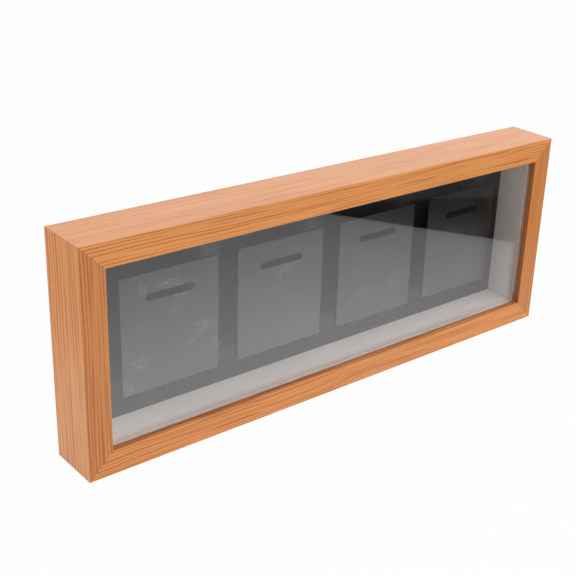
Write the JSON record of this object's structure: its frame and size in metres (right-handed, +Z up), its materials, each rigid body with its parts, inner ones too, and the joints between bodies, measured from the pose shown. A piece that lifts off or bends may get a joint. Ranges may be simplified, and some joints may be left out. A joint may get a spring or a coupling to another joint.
{
  "type": "medal display case",
  "caption": "Deep wooden box frame with a glass front and slotted plates that hold medals by their ribbons, on a lift-out back locked by turn-buttons.",
  "frame": {"origin": "centre of the bottom face of the wooden frame, on which the case stands", "axes": "+X to the right as seen from the front, +Y from the glass towards the wall, +Z up"},
  "size_m": [0.53, 0.0553, 0.2],
  "materials": {
    "oak_foil": "satin, straight reddish-tan grain along each rail",
    "glass": "clear polished float glass",
    "liner_card": "matt pale grey card facing",
    "black_gloss_sheet": "glossy black sheet",
    "charcoal_plate": "matt charcoal, a little dust",
    "riser_board": "fibreboard painted black",
    "corrugated_card": "brown corrugated card",
    "fibreboard": "smooth brown fibreboard",
    "zinc_steel": "zinc-plated sheet steel",
    "rubber": "soft black rubber"
  },
  "bodies": {
    "frame": {"top_rail": "oak_foil", "bottom_rail": "oak_foil", "left_rail": "oak_foil", "right_rail": "oak_foil", "corner_nails": "zinc_steel", "front_glass": "glass", "liner_top": "liner_card", "liner_bottom": "liner_card", "liner_left": "liner_card", "liner_right": "liner_card", "turn_button_screws": "zinc_steel", "sawtooth_hanger_left": "zinc_steel", "sawtooth_hanger_right": "zinc_steel", "hanger_nails": "zinc_steel", "wall_bumpers": "rubber"},
    "back_panel": {"mount_board": "black_gloss_sheet", "filler_card": "corrugated_card", "backing_board": "fibreboard", "medal_pad_1": "charcoal_plate", "medal_pad_2": "charcoal_plate", "medal_pad_3": "charcoal_plate", "medal_pad_4": "charcoal_plate", "pad_riser_1": "riser_board", "pad_riser_2": "riser_board", "pad_riser_3": "riser_board", "pad_riser_4": "riser_board"},
    "turn_button_top_left": {"turn_button_top_left": "zinc_steel"},
    "turn_button_top_right": {"turn_button_top_right": "zinc_steel"},
    "turn_button_right": {"turn_button_right": "zinc_steel"},
    "turn_button_bottom_right": {"turn_button_bottom_right": "zinc_steel"},
    "turn_button_bottom_left": {"turn_button_bottom_left": "zinc_steel"},
    "turn_button_left": {"turn_button_left": "zinc_steel"}
  },
  "joints": [
    {"name": "back_lift_out", "type": "slide", "parent": "frame", "child": "back_panel", "axis": [0, 1, 0], "range_m": [0, 0.08]},
    {"name": "button_top_left_turn", "type": "hinge", "parent": "frame", "child": "turn_button_top_left", "pos_m": [-0.1325, 0.0267, 0.19125], "axis": [0, 1, 0], "range_deg": [0, 90]},
    {"name": "button_top_right_turn", "type": "hinge", "parent": "frame", "child": "turn_button_top_right", "pos_m": [0.1325, 0.0267, 0.19125], "axis": [0, 1, 0], "range_deg": [0, 90]},
    {"name": "button_right_turn", "type": "hinge", "parent": "frame", "child": "turn_button_right", "pos_m": [0.25625, 0.0267, 0.1], "axis": [0, 1, 0], "range_deg": [0, 90]},
    {"name": "button_bottom_right_turn", "type": "hinge", "parent": "frame", "child": "turn_button_bottom_right", "pos_m": [0.1325, 0.0267, 0.00875], "axis": [0, 1, 0], "range_deg": [0, 90]},
    {"name": "button_bottom_left_turn", "type": "hinge", "parent": "frame", "child": "turn_button_bottom_left", "pos_m": [-0.1325, 0.0267, 0.00875], "axis": [0, 1, 0], "range_deg": [0, 90]},
    {"name": "button_left_turn", "type": "hinge", "parent": "frame", "child": "turn_button_left", "pos_m": [-0.25625, 0.0267, 0.1], "axis": [0, 1, 0], "range_deg": [0, 90]}
  ]
}
